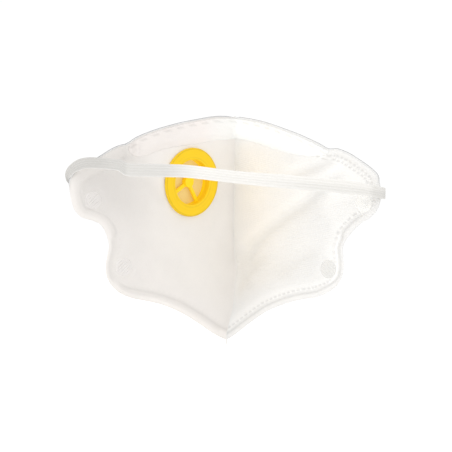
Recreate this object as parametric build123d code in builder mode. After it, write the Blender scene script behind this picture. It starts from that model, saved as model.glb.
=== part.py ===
from build123d import *
import math
import os

# Disposable vertical fold-flat dust mask with an exhalation valve: two welded laminate halves
# meeting at a vertical centre fold. Millimetres.
# +Z is up (nose end), -Y is the outer front, the face goes in from +Y, and +X is the wearer's
# left half, which carries the valve. The fold runs along Z through (0, HINGE_Y).
# "Offset" and "height" are distances outwards from the skin side of the panel.

os.makedirs("parts", exist_ok=True)

# ---------------------------------------------------------------- panel
HINGE_Y = -40.65  # inner apex of the fold
FOLD_SLOPE = 0.99  # dy/dx at the fold (half angle about 45.3 degrees)
SLOPE_DROP = 0.0022  # slope lost per mm outwards, so the ear tabs flare
PANEL_TOP, PANEL_BOTTOM = 82.0, -82.0
PANEL_OUT = 100.0  # past the ear tab; the outline trims it
FOLD_GAP = 0.12  # from each half to the fold plane
TRIM_REACH = 120  # extrusion each way of an outline drawn in XZ

# Where the horizontal panel section is sampled: heights, and distances from the fold
LEVEL_COUNT = 15
TILTED_XS = [FOLD_GAP, 4.0, 8.0, 12.0, 18.0, 26.0, 34.0, 42.0, 50.0, 60.0, 72.0, 86.0, PANEL_OUT]
PLAIN_X_COUNT = 5

# Laminate, from the skin outwards: name, thickness
WEBS = [("inner_liner", 0.30), ("support_web", 0.50), ("filter_web", 0.50), ("outer_cover", 0.40)]
LAYER_GAP = 0.06
STACK = sum(thickness for _, thickness in WEBS) + (len(WEBS) - 1) * LAYER_GAP

SIDES = {"left": 1, "right": -1}  # sign of X

# Half outline seen along Y: distance from the fold, z
NOSE_EDGE = [
    (0.0, 76.5), (13.2, 74.2), (22.3, 71.6), (31.1, 68.7), (39.9, 65.2),
    (47.2, 61.9), (53.9, 58.3), (59.9, 54.5), (65.2, 52.0),
]
TAB_EDGE = [
    (65.2, 52.0), (70.5, 50.1), (75.8, 46.9), (83.3, 41.4), (88.4, 36.8), (91.5, 33.0),
    (93.6, 28.7), (95.0, 24.2), (94.8, 18.9), (93.0, 13.6), (89.0, 8.1), (82.9, 4.2),
    (77.2, 0.3), (73.6, -4.8), (71.8, -10.0), (71.5, -14.0),
]
LOBE_EDGE = [
    (71.5, -14.0), (72.7, -19.0), (73.0, -25.0), (72.0, -29.8), (69.8, -34.0),
    (66.2, -38.0), (60.5, -41.6), (53.3, -44.4), (44.8, -47.3), (37.4, -50.4),
    (29.9, -54.0), (22.3, -58.2), (15.2, -62.9), (8.0, -68.2), (0.0, -73.5),
]
CHIN_Z = LOBE_EDGE[-1][1]

# ---------------------------------------------------------------- centre weld fin
FIN_T = 0.8
FIN_ROOT = 0.65  # distances out from the fold
FIN_NECK = 2.3
FIN_CREST = 4.3
TAIL_Z = CHIN_Z - 3.0  # the weld runs on below the chin
# Distance out from the fold, z
FIN_PROFILE = [
    (FIN_ROOT, 76.2), (FIN_NECK, 75.8), (FIN_NECK, 64.8), (FIN_CREST, 61.2),
    (FIN_CREST, -66.8), (FIN_CREST - 1.2, -73.8), (FIN_CREST - 1.6, TAIL_Z),
    (FIN_ROOT + 0.6, TAIL_Z), (FIN_ROOT, -72.4), (FIN_ROOT, 76.2),
]

# ---------------------------------------------------------------- nose clip and comfort strip
BRIDGE_BOTTOM, BRIDGE_TOP, BRIDGE_LEVEL_COUNT = 42.0, 80.0, 9
BRIDGE_X_COUNT = 12
APEX_REACH = 8.0  # half width of the search for the fold crossing

CLIP_HALF_LENGTH = 45.0
CLIP_REACH = CLIP_HALF_LENGTH + 8  # untrimmed
CLIP_DROP = 5.5  # clip top below the nose edge
CLIP_END_Z = 57.4
CLIP_WIDTH = 5.0
CLIP_T = 0.9
CLIP_LIFT = 0.12  # clearance over the outer cover

STRIP_T = 1.8
STRIP_LIFT = 0.25  # clearance between strip and liner
STRIP_REACH = 70.0  # untrimmed
STRIP_DROP = 0.3  # strip top below the nose edge
STRIP_TIP = (64.4, 51.8)
# Lower edge: distance from the fold, z
STRIP_LOW = [
    (0.0, 61.8), (11.9, 59.0), (21.6, 55.9), (32.3, 52.8),
    (39.9, 50.5), (51.0, 47.4), (62.6, 48.2),
]

# ---------------------------------------------------------------- headbands and their welds
# Weld centres: distance from the fold, z
UPPER_SPOT = (82.0, 16.2)
LOWER_SPOT = (62.9, -24.3)
SPOT_R = 6.0
SPOT_CLEARANCE = 0.1
SPOT_PROUD = 0.25  # on the skin side

BAND_W = 8.0
BAND_T = 1.0
BAND_LIFT = 0.14  # clearance over the outer cover
BAND_MID = STACK + BAND_LIFT + BAND_T / 2

UPPER_BAND_Z = 31.2
LEG_BOTTOM, LEG_HEIGHT = UPPER_BAND_Z - 22, 32
LEG_IN, LEG_OUT, LEG_X_COUNT = 74.0, 91.5, 8
# Leg outline seen along Y: distance from the fold, z
LEG_OUTLINE = [
    (77.0, 15.2), (79.0, 11.8), (84.4, 10.8), (88.6, 15.8), (93.6, 27.2),
    (93.6, 35.2), (86.6, 35.2), (77.6, 21.2), (77.0, 15.2),
]
REAR_Y = HINGE_Y + 87.6
REAR_XS = (60.0, 30.0, 0.0, -30.0, -60.0)
UPPER_BAND_EXTRA_LIFT = 0.1
UPPER_BAND_TAB_XS = (88.0, LEG_OUT)
# Centre line round the end of the ear tab: x, y
TAB_TURN = [
    (95.9, HINGE_Y + 82.2), (97.6, HINGE_Y + 84.2), (97.2, HINGE_Y + 86.4),
    (94.8, HINGE_Y + 87.4), (90.0, REAR_Y + 0.1), (84.0, REAR_Y),
]

LOWER_BAND_Z = LOWER_SPOT[1]
# Distance from the fold, extra lift, growing so that the band clears the fin
LOWER_BAND_STATIONS = [
    (67.5, 0.05), (60.0, 0.05), (52.0, 0.05), (44.0, 0.05), (36.0, 0.05),
    (28.0, 0.1), (21.0, 0.3), (15.0, 0.8), (10.0, 1.6), (6.0, 2.7),
]
FIN_CLEAR_Y = HINGE_Y - FIN_CREST - BAND_T
# Centre line over the fin: x, y
BAND_SHOULDER = (3.4, FIN_CLEAR_Y - 0.5)
BAND_PEAK = (0.0, FIN_CLEAR_Y - 1.1)

# ---------------------------------------------------------------- exhalation valve
VALVE_X, VALVE_Z = 24.2, 30.9
VALVE_TILT = 0.13  # dy/dz of the panel around the valve
TILT_FLAT_Z, TILT_FADE_Z = 20.0, 28.0  # full tilt, then fade, above and below the valve
TILT_RISE_X = 10.0  # tilt grows from the fold over this distance
TILT_FLAT_X, TILT_FADE_X = 42.0, 30.0  # fade starts here, over this distance

HOLE_R = 16.2  # through the laminate
BORE_R = 14.75

FLANGE_R = 22.5
FLANGE_START, FLANGE_T = -1.9, 1.7
FLANGE_FILLET = 0.6
COLLAR_SINK = 0.6  # inwards from the skin side
COLLAR_PROUD = 0.4  # beyond the laminate
COLLAR_CLEARANCE = 0.35

SEAT_START, SEAT_T = STACK + 0.45, 1.8
RIM_WALL, RIM_HEIGHT = 1.2, 0.9
SPOKE_ANGLES = (55, 145)
SPOKE_LENGTH, SPOKE_W, SPOKE_T = 2 * BORE_R + 1.2, 2.2, 1.5
HUB_R, HUB_HEIGHT = 3.6, 3.2
HUB_START = SEAT_START - 1.0

VALVE_GAP = 0.05  # between stacked valve pieces
FLAP_START = SEAT_START + SEAT_T + RIM_HEIGHT + VALVE_GAP
FLAP_R, FLAP_HOLE_R, FLAP_T = 16.2, 1.75, 0.6

PIN_START = HUB_START + HUB_HEIGHT + VALVE_GAP
PIN_R, PIN_LENGTH = 1.5, 2.65
PIN_HEAD_R, PIN_HEAD_T, PIN_HEAD_FILLET = 3.0, 1.0, 0.4

COVER_R = 21.5
COVER_START, COVER_TOP = SEAT_START + SEAT_T + 0.07, 12.5
COVER_WALL, COVER_FILLET = 1.3, 2.2
SLOT_COUNT, SLOT_START_ANGLE = 14, 12.86
SLOT_RADIAL, SLOT_W, SLOT_HEIGHT = 6.0, 5.6, 3.4
SLOT_LIFT = 1.6  # above the cover's open end
SLOT_CENTRE_R = COVER_R - 1.0


# ---------------------------------------------------------------- panel geometry
def spread(first, last, count):
    return [first + (last - first) * i / (count - 1) for i in range(count)]


def smooth(t):
    t = max(0.0, min(1.0, t))
    return t * t * (3 - 2 * t)


def valve_dish(x, z):
    """Shift in Y of the valve half: a tilt around the valve that fades out all round."""
    if x <= 0:
        return 0.0
    rise = z - VALVE_Z
    fade_z = 1 - smooth((abs(rise) - TILT_FLAT_Z) / TILT_FADE_Z)
    fade_x = smooth(x / TILT_RISE_X) * (1 - smooth((x - TILT_FLAT_X) / TILT_FADE_X))
    return VALVE_TILT * rise * fade_z * fade_x


def panel_y(x, z, tilted):
    y = HINGE_Y + FOLD_SLOPE * x - 0.5 * SLOPE_DROP * x * x
    return y + (valve_dish(x, z) if tilted else 0.0)


def offset_point(x, offset, z=0.0, tilted=False):
    """(x, y) of the horizontal section at x, moved outwards along the section's normal."""
    step = 0.05
    slope = (panel_y(x + step, z, tilted) - panel_y(x - step, z, tilted)) / (2 * step)
    norm = math.hypot(slope, 1.0)
    return (x + offset * slope / norm, panel_y(x, z, tilted) - offset / norm)


def mirrored(points, side):
    return [(side * across, other) for across, other in points]


def section(xs, offset, side, z=0.0, tilted=False):
    return mirrored([offset_point(x, offset, z, tilted) for x in xs], side)


def apex_x(offset, z, tilted):
    """The x whose offset point lies on the fold plane, found by bisection."""
    low, high = -APEX_REACH, APEX_REACH
    for _ in range(50):
        middle = 0.5 * (low + high)
        if offset_point(middle, offset, z, tilted)[0] > 0:
            high = middle
        else:
            low = middle
    return 0.5 * (low + high)


def lowered(points, drop):
    return [(x, z - drop) for x, z in points]


def panel_plane(x, z, height, side=1, tilt=0.0):
    """Plane facing out of the panel at (x, z)."""
    slope = FOLD_SLOPE - SLOPE_DROP * x
    out = Vector(side * slope, -1.0, tilt).normalized()
    along = Vector(side, slope, 0.0).normalized()
    origin = Vector(side * x, panel_y(x, z, False), z) + out * height
    return Plane(origin=origin, x_dir=along, z_dir=out)


def valve_plane(height=0.0):
    """Plane square to the valve axis."""
    return panel_plane(VALVE_X, VALVE_Z, height, tilt=VALVE_TILT)


# ---------------------------------------------------------------- shared drawing steps
# These add to the caller's open builder, so they open no builder of their own.
def draw_strip(first_edge, second_edge):
    """Closed line between two splines whose points run the same way."""
    Spline(*first_edge)
    Line(first_edge[-1], second_edge[-1])
    Spline(*second_edge[::-1])
    Line(second_edge[0], first_edge[0])


def draw_ribbon(centre_line):
    """Headband section of even thickness about a centre line."""
    edges = ([], [])
    last = len(centre_line) - 1
    for i, (x, y) in enumerate(centre_line):
        before = centre_line[max(0, i - 1)]
        after = centre_line[min(last, i + 1)]
        dx, dy = after[0] - before[0], after[1] - before[1]
        length = math.hypot(dx, dy)
        for edge, shift in zip(edges, (BAND_T / 2, -BAND_T / 2)):
            edge.append((x - dy / length * shift, y + dx / length * shift))
    draw_strip(*edges)


def draw_ring(outer_radius, inner_radius):
    Circle(outer_radius)
    Circle(inner_radius, mode=Mode.SUBTRACT)


def circles_by_height(builder):
    """Circular edges sorted outwards along the valve axis."""
    circles = builder.edges().filter_by(GeomType.CIRCLE)
    return circles.sort_by(lambda edge: valve_plane().to_local_coords(edge.center()).Z)


def save(builder, name):
    builder.part.label = name
    export_step(builder.part, f"parts/{name}.step")


# ---------------------------------------------------------------- laminate
def make_web(name, side, inner, outer):
    """One web of a half between two offsets, with its weld and valve holes."""
    tilted = side > 0
    if tilted:
        levels = spread(PANEL_BOTTOM, PANEL_TOP, LEVEL_COUNT)
        xs = TILTED_XS
    else:
        levels = [PANEL_BOTTOM]
        xs = spread(FOLD_GAP, PANEL_OUT, PLAIN_X_COUNT)
    with BuildPart() as web:
        for z in levels:
            with BuildSketch(Plane.XY.offset(z)):
                with BuildLine():
                    draw_strip(
                        section(xs, inner, side, z, tilted),
                        section(xs, outer, side, z, tilted),
                    )
                make_face()
        if tilted:
            loft()
        else:
            extrude(amount=PANEL_TOP - PANEL_BOTTOM)
        with BuildSketch(Plane.XZ):
            with BuildLine():
                for edge in (NOSE_EDGE, TAB_EDGE, LOBE_EDGE):
                    Spline(*mirrored(edge, side))
                Line((0, CHIN_Z), (0, NOSE_EDGE[0][1]))
            make_face()
        extrude(amount=TRIM_REACH, both=True, mode=Mode.INTERSECT)
        for x, z in (UPPER_SPOT, LOWER_SPOT):
            with BuildSketch(panel_plane(x, z, 0.0, side)):
                Circle(SPOT_R + SPOT_CLEARANCE)
            extrude(amount=10, both=True, mode=Mode.SUBTRACT)
        if tilted:
            with BuildSketch(valve_plane()):
                Circle(HOLE_R)
            extrude(amount=12, both=True, mode=Mode.SUBTRACT)
    save(web, name)


def make_laminate():
    inner = 0.0
    for name, thickness in WEBS:
        for side_name, side in SIDES.items():
            make_web(f"{name}_{side_name}", side, inner, inner + thickness)
        inner += thickness + LAYER_GAP


def make_centre_weld_seam():
    """Thin fin down the outer side of the fold."""
    with BuildPart() as seam:
        with BuildSketch(Plane.YZ):
            with BuildLine():
                Polyline(*[(HINGE_Y - depth, z) for depth, z in FIN_PROFILE])
            make_face()
        extrude(amount=FIN_T / 2, both=True)
    save(seam, "centre_weld_seam")


# ---------------------------------------------------------------- strips across the fold
def bridge_edges(z, offset, reach):
    """Left and right halves of an offset section, joined on the fold plane."""
    left, right = [
        section(
            spread(apex_x(offset, z, side > 0), reach, BRIDGE_X_COUNT),
            offset, side, z, tilted=side > 0,
        )
        for side in (1, -1)
    ]
    left[0] = right[0] = (0.0, 0.5 * (left[0][1] + right[0][1]))
    return left, right


def make_bridging_strip(name, inner, outer, reach, top_edge, low_edge):
    """A strip that follows both halves, trimmed between two edges seen along Y."""
    with BuildPart() as strip:
        for z in spread(BRIDGE_BOTTOM, BRIDGE_TOP, BRIDGE_LEVEL_COUNT):
            inner_left, inner_right = bridge_edges(z, inner, reach)
            outer_left, outer_right = bridge_edges(z, outer, reach)
            with BuildSketch(Plane.XY.offset(z)):
                with BuildLine():
                    Spline(*inner_left)
                    Line(inner_left[-1], outer_left[-1])
                    Spline(*outer_left[::-1])
                    Spline(*outer_right)
                    Line(outer_right[-1], inner_right[-1])
                    Spline(*inner_right[::-1])
                make_face()
        loft()
        with BuildSketch(Plane.XZ):
            for side in (1, -1):
                with BuildLine():
                    draw_strip(mirrored(top_edge, side), mirrored(low_edge, side))
                make_face()
        extrude(amount=TRIM_REACH, both=True, mode=Mode.INTERSECT)
    save(strip, name)


def make_nose_clip():
    """Soft aluminium strip on the outside."""
    top = lowered(NOSE_EDGE[:5], CLIP_DROP) + [(CLIP_HALF_LENGTH, CLIP_END_Z)]
    inner = STACK + CLIP_LIFT
    low = lowered(top, CLIP_WIDTH)
    make_bridging_strip("nose_clip", inner, inner + CLIP_T, CLIP_REACH, top, low)


def make_nose_comfort_strip():
    """Thicker strip on the skin side."""
    top = lowered(NOSE_EDGE[:-1], STRIP_DROP) + [STRIP_TIP]
    make_bridging_strip(
        "nose_comfort_strip", -STRIP_LIFT - STRIP_T, -STRIP_LIFT, STRIP_REACH, top, STRIP_LOW
    )


# ---------------------------------------------------------------- headbands
def make_upper_headband():
    """From a leg on each ear tab's outer face, round the tab's end and across behind."""
    offset = BAND_MID + UPPER_BAND_EXTRA_LIFT
    left_end = section(UPPER_BAND_TAB_XS, offset, 1) + TAB_TURN
    rear = [(x, REAR_Y) for x in REAR_XS]
    leg_xs = spread(LEG_IN, LEG_OUT, LEG_X_COUNT)
    leg_inner = STACK + BAND_LIFT
    with BuildPart() as band:
        with BuildSketch(Plane.XY.offset(LEG_BOTTOM)):
            for side in (1, -1):
                with BuildLine():
                    draw_strip(
                        section(leg_xs, leg_inner, side),
                        section(leg_xs, leg_inner + BAND_T, side),
                    )
                make_face()
        extrude(amount=LEG_HEIGHT)
        with BuildSketch(Plane.XZ):
            for side in (1, -1):
                with BuildLine():
                    Polyline(*mirrored(LEG_OUTLINE, side))
                make_face()
        extrude(amount=TRIM_REACH, both=True, mode=Mode.INTERSECT)
        with BuildSketch(Plane.XY.offset(UPPER_BAND_Z - BAND_W / 2)):
            with BuildLine():
                draw_ribbon(left_end + rear + mirrored(left_end[::-1], -1))
            make_face()
        extrude(amount=BAND_W)
    save(band, "upper_headband")


def make_lower_headband():
    """From the weld on each lobe's outer face, across the front, bridging the fin."""
    left = [offset_point(x, BAND_MID + lift) for x, lift in LOWER_BAND_STATIONS]
    left.append(BAND_SHOULDER)
    with BuildPart() as band:
        with BuildSketch(Plane.XY.offset(LOWER_BAND_Z - BAND_W / 2)):
            with BuildLine():
                draw_ribbon(left + [BAND_PEAK] + mirrored(left[::-1], -1))
            make_face()
        extrude(amount=BAND_W)
    save(band, "lower_headband")


def make_strap_welds(side_name, side):
    """Fused discs through the laminate."""
    with BuildPart() as welds:
        for x, z in (UPPER_SPOT, LOWER_SPOT):
            with BuildSketch(panel_plane(x, z, -SPOT_PROUD, side)):
                Circle(SPOT_R)
            extrude(amount=STACK + SPOT_PROUD)
    save(welds, f"strap_welds_{side_name}")


# ---------------------------------------------------------------- exhalation valve
def make_valve_inner_flange():
    """Ring on the skin side with a collar through the laminate."""
    with BuildPart() as flange:
        with BuildSketch(valve_plane(FLANGE_START)):
            draw_ring(FLANGE_R, BORE_R)
        extrude(amount=FLANGE_T)
        fillet(circles_by_height(flange)[0:2], radius=FLANGE_FILLET)
        with BuildSketch(valve_plane(-COLLAR_SINK)):
            draw_ring(HOLE_R - COLLAR_CLEARANCE, BORE_R)
        extrude(amount=COLLAR_SINK + STACK + COLLAR_PROUD)
    save(flange, "valve_inner_flange")


def make_valve_seat():
    """Ring with a raised rim round the bore, crossed spokes and a hub."""
    with BuildPart() as seat:
        with BuildSketch(valve_plane(SEAT_START)):
            draw_ring(COVER_R, BORE_R)
        extrude(amount=SEAT_T)
        with BuildSketch(valve_plane(SEAT_START + SEAT_T)):
            draw_ring(BORE_R + RIM_WALL, BORE_R)
        extrude(amount=RIM_HEIGHT)
        with BuildSketch(valve_plane(SEAT_START)):
            for angle in SPOKE_ANGLES:
                with Locations(Location((0, 0, 0), (0, 0, angle))):
                    Rectangle(SPOKE_LENGTH, SPOKE_W)
        extrude(amount=SPOKE_T)
        with BuildSketch(valve_plane(HUB_START)):
            Circle(HUB_R)
        extrude(amount=HUB_HEIGHT)
    save(seat, "valve_seat")


def make_valve_diaphragm():
    with BuildPart() as diaphragm:
        with BuildSketch(valve_plane(FLAP_START)):
            draw_ring(FLAP_R, FLAP_HOLE_R)
        extrude(amount=FLAP_T)
    save(diaphragm, "valve_diaphragm")


def make_valve_retaining_pin():
    with BuildPart() as pin:
        with BuildSketch(valve_plane(PIN_START)):
            Circle(PIN_R)
        extrude(amount=PIN_LENGTH)
        with BuildSketch(valve_plane(PIN_START + PIN_LENGTH)):
            Circle(PIN_HEAD_R)
        extrude(amount=PIN_HEAD_T)
        fillet(circles_by_height(pin)[-1], radius=PIN_HEAD_FILLET)
    save(pin, "valve_retaining_pin")


def make_valve_cover():
    """Cap open towards the seat, with slots round its wall."""
    height = COVER_TOP - COVER_START
    with BuildPart() as cover:
        with BuildSketch(valve_plane(COVER_START)):
            Circle(COVER_R)
        extrude(amount=height)
        fillet(circles_by_height(cover)[-1], radius=COVER_FILLET)
        with BuildSketch(valve_plane(COVER_START)):
            Circle(COVER_R - COVER_WALL)
        extrude(amount=height - COVER_WALL, mode=Mode.SUBTRACT)
        with BuildSketch(valve_plane(COVER_START + SLOT_LIFT)):
            with PolarLocations(SLOT_CENTRE_R, SLOT_COUNT, start_angle=SLOT_START_ANGLE):
                Rectangle(SLOT_RADIAL, SLOT_W)
        extrude(amount=SLOT_HEIGHT, mode=Mode.SUBTRACT)
    save(cover, "valve_cover")


make_laminate()
make_centre_weld_seam()
make_nose_clip()
make_nose_comfort_strip()
make_upper_headband()
make_lower_headband()
for side_name, side in SIDES.items():
    make_strap_welds(side_name, side)
make_valve_inner_flange()
make_valve_seat()
make_valve_diaphragm()
make_valve_retaining_pin()
make_valve_cover()
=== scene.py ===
# A fold-flat face mask with a round valve, a nose clip and two elastic headbands, held half open.
# It stands upright (+Z up). The front fold runs up the plane x = 0 and points to -Y; the skin side
# faces +Y, towards the camera. x > 0 is the wearer's left half, x < 0 the right half.
# Lengths are millimetres and become metres in build(). A half is shaped in its own coordinates,
# with x measured outwards from the fold on either side, and the right half is then mirrored.
import math

import bpy
import numpy as np
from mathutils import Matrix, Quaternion, Vector
from mathutils.geometry import delaunay_2d_cdt


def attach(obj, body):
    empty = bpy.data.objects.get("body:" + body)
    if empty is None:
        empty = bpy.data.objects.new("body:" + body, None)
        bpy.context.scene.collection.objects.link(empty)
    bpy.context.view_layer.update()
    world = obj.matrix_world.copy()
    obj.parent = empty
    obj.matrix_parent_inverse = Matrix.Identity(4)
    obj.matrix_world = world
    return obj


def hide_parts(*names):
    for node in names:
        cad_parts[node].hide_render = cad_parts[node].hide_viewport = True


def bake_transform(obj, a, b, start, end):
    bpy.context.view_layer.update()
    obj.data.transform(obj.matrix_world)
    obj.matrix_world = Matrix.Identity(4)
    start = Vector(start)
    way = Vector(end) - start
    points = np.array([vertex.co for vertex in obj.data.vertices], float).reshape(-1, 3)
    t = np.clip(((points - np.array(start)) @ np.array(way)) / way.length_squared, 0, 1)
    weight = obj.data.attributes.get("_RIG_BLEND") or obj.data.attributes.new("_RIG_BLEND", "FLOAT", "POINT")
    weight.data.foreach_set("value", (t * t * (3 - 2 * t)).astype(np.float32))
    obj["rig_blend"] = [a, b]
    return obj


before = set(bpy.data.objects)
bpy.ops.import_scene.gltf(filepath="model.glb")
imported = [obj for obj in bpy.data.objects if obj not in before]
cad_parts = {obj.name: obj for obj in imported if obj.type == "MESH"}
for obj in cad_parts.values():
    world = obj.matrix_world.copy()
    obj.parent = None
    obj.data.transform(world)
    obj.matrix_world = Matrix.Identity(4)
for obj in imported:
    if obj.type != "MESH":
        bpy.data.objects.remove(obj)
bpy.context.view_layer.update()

MM = 0.001
LEFT, RIGHT = 1, -1
WORD = {LEFT: "left", RIGHT: "right"}

# ------------------------------------------------------------------ driving sizes
FOLD_Y = -40.65
SLOPE, CURVE = 0.99, 0.0011     # a half's depth: FOLD_Y + SLOPE * x - CURVE * x^2
STACK = 1.88                    # laminate thickness
MID = STACK / 2
BOW = 4.2                       # the crease stands this far to the wearer's right of x = 0
BOW_DEPTH = 0.76                # share of that shift that also goes forwards, to -Y
TOP_DROP = 1.1                  # how far the upper edge is lowered

VALVE_X, VALVE_Z = 24.2, 30.9
VALVE_TILT = 0.13
VALVE_SLOPE = SLOPE - 2 * CURVE * VALVE_X
VALVE_CENTRE = np.array([VALVE_X, FOLD_Y + SLOPE * VALVE_X - CURVE * VALVE_X * VALVE_X, VALVE_Z])
VALVE_OUT = np.array([VALVE_SLOPE, -1.0, VALVE_TILT])
VALVE_OUT = VALVE_OUT / np.linalg.norm(VALVE_OUT)
VALVE_ALONG = np.array([1.0, VALVE_SLOPE, 0.0])
VALVE_ALONG = VALVE_ALONG / np.linalg.norm(VALVE_ALONG)
VALVE_UP = np.cross(VALVE_OUT, VALVE_ALONG)
VALVE_HOLE = 16.6               # radius of the opening in the left half

# distance of the outer and inner weld rows from the edge
ROWS = {LEFT: (5.8, 7.6), RIGHT: (3.7, 6.4)}
# centres (x, z) of the upper and lower headband welds
SPOTS = {LEFT: [(82.6, 17.4), (64.4, -23.9)], RIGHT: [(83.4, 17.2), (63.2, -23.9)]}
SPOT_HEIGHT = 1.25              # the welds are this much taller than wide
BAND_WIDTH = 8.0
BAND_RIBS = 5
BAND_LIFT = 0.75                # band's middle above the outer face where it is welded
RIBBON_THICK = 0.8              # bands and nose clip

# Outer edge of each half from the top of the fold round to the chin: (x, z) as seen from behind
LEFT_OUTLINE = [
    (0.0, 76.1), (9.04, 75.25), (20.72, 72.47), (28.99, 70.29), (37.42, 67.49), (45.11, 64.48),
    (51.78, 61.45), (57.17, 58.55), (61.91, 54.96), (63.68, 53.72), (66.04, 53.2), (69.56, 51.61),
    (73.62, 48.82), (78.57, 44.64), (84.6, 40.4), (90.3, 36.4), (94.3, 32.3), (95.9, 27.8),
    (95.9, 22.2), (94.9, 17.0), (93.0, 11.2), (89.3, 7.0), (83.9, 5.2), (78.81, 3.0),
    (76.06, -0.6), (74.27, -5.15), (73.3, -9.19), (73.28, -12.2), (74.3, -16.97), (75.1, -21.93),
    (75.0, -26.28), (73.85, -31.28), (71.07, -36.02), (65.74, -40.86), (58.59, -44.1),
    (50.5, -46.0), (40.45, -49.0), (29.04, -54.3), (17.46, -61.9), (8.46, -68.4), (0.0, -73.3),
]
RIGHT_OUTLINE = [
    (4.2, 76.03), (9.2, 75.05), (14.12, 73.97), (23.17, 71.3), (33.32, 67.19), (42.98, 62.94),
    (50.65, 58.99), (56.7, 55.67), (60.91, 52.86), (63.29, 51.94), (67.25, 52.04), (70.95, 50.59),
    (75.05, 48.21), (82.5, 42.2), (87.4, 38.1), (90.6, 34.4), (91.8, 30.3), (93.1, 25.6),
    (92.9, 19.4), (91.1, 13.4), (86.92, 8.23), (81.5, 4.6), (76.84, -0.32), (73.23, -5.53),
    (71.52, -9.93), (71.44, -13.05), (72.19, -18.45), (72.13, -24.25), (70.84, -29.91),
    (66.79, -36.03), (57.64, -41.83), (48.6, -43.9), (41.26, -46.04), (32.59, -49.66),
    (24.6, -54.07), (16.75, -59.87), (10.28, -65.12), (4.39, -69.99), (0.0, -73.3),
]
NOTCH = 9                       # index of the outline's corner at the end of the nose edge

# Lower edge of the nose comfort strip, from its outer end to the fold: (x, z)
LEFT_STRIP = [
    (62.4, 53.4), (62.6, 49.4), (60.4, 46.6), (56.4, 45.6), (52.24, 46.42), (44.97, 49.7),
    (37.58, 52.14), (30.09, 54.03), (21.84, 55.61), (15.4, 57.22), (8.88, 58.9), (0.0, 61.0),
]
RIGHT_STRIP = [
    (62.4, 51.6), (63.0, 49.4), (61.6, 48.1), (57.38, 47.3), (50.15, 47.2), (40.34, 49.18),
    (34.73, 50.95), (29.06, 53.12), (22.04, 55.91), (14.92, 58.75), (7.71, 60.4), (4.2, 60.9),
]

# Soft buckles: path of (x, z), half width, height, strength of the shading
BUCKLES = {
    RIGHT: [
        ([(76, 38.5), (64.9, 31.5), (49.6, 15.6), (34.5, 4.7), (20.2, -8.8), (12.9, -26.4),
          (9.5, -40)], 3.6, 1.35, 1.0),
        ([(69, 45.2), (61, 42.0), (54.9, 38.9), (42.6, 34.4), (34.0, 31.5)], 3.0, 0.85, 0.75),
        ([(60, -10.0), (52, -15.5), (45, -20), (37, -27), (30, -33)], 3.6, 0.5, 0.45),
        ([(27, -14), (22.3, -20.2), (15.5, -29), (9.4, -38.6), (6, -48)], 2.2, 0.45, 0.6),
    ],
    LEFT: [
        ([(57, 33), (50.9, 28.7), (45, 21.5), (41, 14)], 3.4, 0.45, 0.35),
        ([(62.5, 55), (61.4, 50.5), (60.6, 46), (60.2, 42)], 1.1, 0.42, 0.9),
        ([(58.6, 55), (57.4, 50.5), (56.8, 47)], 1.0, 0.3, 0.7),
        ([(65.6, 53), (64.6, 48), (64.0, 42)], 1.6, 0.35, 0.8),
        ([(52, -2), (44, -14), (34, -26), (25, -36)], 6.0, 0.35, 0.15),
    ],
}


# ------------------------------------------------------------------ curves and ramps
def smooth(share):
    share = np.clip(share, 0.0, 1.0)
    return share * share * (3 - 2 * share)


def rise(value, start, span):
    """Eases from 0 at start to 1 at start + span; a negative span rises towards smaller values."""
    return smooth((value - start) / span)


def fall(value, start, span):
    return 1 - rise(value, start, span)


def ridge(value, width):
    """Bell curve of height 1 round value 0."""
    return np.exp(-(value / width) ** 2)


def unit_rows(rows):
    return rows / np.linalg.norm(rows, axis=1)[:, None]


def catmull(points, steps=14):
    """Dense points along a uniform Catmull-Rom curve through points of any dimension."""
    points = np.array(points, float)
    share = np.linspace(0, 1, steps, endpoint=False)[:, None]
    out = []
    for i in range(len(points) - 1):
        start, end = points[i], points[i + 1]
        before = points[i - 1] if i else 2 * start - end
        after = points[i + 2] if i + 2 < len(points) else 2 * end - start
        out.append(0.5 * (2 * start + (end - before) * share
                          + (2 * before - 5 * start + 4 * end - after) * share ** 2
                          + (-before + 3 * start - 3 * end + after) * share ** 3))
    out.append(points[-1:])
    return np.vstack(out)


def arc_length(points):
    return np.concatenate([[0], np.cumsum(np.linalg.norm(np.diff(points, axis=0), axis=1))])


def resample(points, step):
    length = arc_length(points)
    count = max(2, int(round(length[-1] / step)) + 1)
    stations = np.linspace(0, length[-1], count)
    return np.stack([np.interp(stations, length, column) for column in points.T], axis=1)


def smooth_rows(rows, passes):
    rows = rows.copy()
    for _ in range(passes):
        rows[1:-1] = 0.25 * rows[:-2] + 0.5 * rows[1:-1] + 0.25 * rows[2:]
    return rows


def nearest(starts, ends, points):
    """For each point: distance to the nearest segment, its index and the share along it."""
    spans = ends - starts
    squares = (spans ** 2).sum(1)
    distance = np.zeros(len(points))
    index = np.zeros(len(points), int)
    share = np.zeros(len(points))
    for k in range(0, len(points), 2000):
        part = slice(k, k + 2000)
        reach = points[part, None] - starts[None]
        shares = np.clip((reach * spans[None]).sum(2) / squares[None], 0, 1)
        gaps = np.linalg.norm(reach - shares[..., None] * spans[None], axis=2)
        best = gaps.argmin(1)
        row = np.arange(len(best))
        distance[part] = gaps[row, best]
        index[part] = best
        share[part] = shares[row, best]
    return distance, index, share


def inside(loop, points):
    """Whether each point lies inside a closed loop, by counting crossings."""
    result = np.zeros(len(points), bool)
    x0, z0 = loop[:, 0], loop[:, 1]
    x1, z1 = np.roll(x0, -1), np.roll(z0, -1)
    for k in range(0, len(points), 4000):
        x, z = points[k:k + 4000, 0, None], points[k:k + 4000, 1, None]
        level = (z0 > z) != (z1 > z)
        hit = level & (x < (x1 - x0) * (z - z0) / (z1 - z0 + 1e-12) + x0)
        result[k:k + 4000] = hit.sum(1) % 2 == 1
    return result


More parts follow.
